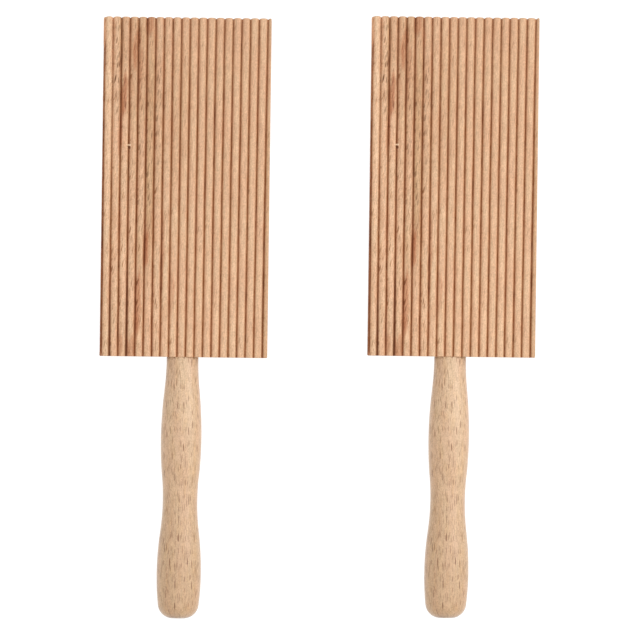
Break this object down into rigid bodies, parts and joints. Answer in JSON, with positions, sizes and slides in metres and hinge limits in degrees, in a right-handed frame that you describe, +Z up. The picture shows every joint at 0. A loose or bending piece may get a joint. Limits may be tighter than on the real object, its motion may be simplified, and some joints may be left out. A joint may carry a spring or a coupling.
{
  "type": "butter paddles",
  "caption": "Pair of flat beech paddles with lengthwise half-round ribs on one face and turned handles, for shaping butter or rolling ribbed pasta.",
  "frame": {"origin": "under the middle of the pair, on the table the thickest swell of each handle rests on", "axes": "+Y along the paddles from the handles to the boards' far ends, +Z up out of the ribbed faces, +X from the left paddle to the right one"},
  "size_m": [0.1558, 0.2166, 0.0159],
  "materials": {
    "ribbed_beech": "raw sanded beech, darker in the grooves",
    "turned_beech": "raw turned beech, smooth and pale"
  },
  "bodies": {
    "left_paddle": {"left_board": "ribbed_beech", "left_handle": "turned_beech"},
    "right_paddle": {"right_board": "ribbed_beech", "right_handle": "turned_beech"}
  },
  "joints": [
    {"name": "right_paddle_lift", "type": "slide", "parent": "left_paddle", "child": "right_paddle", "axis": [0, 0, 1], "range_m": [0, 0.12]}
  ]
}
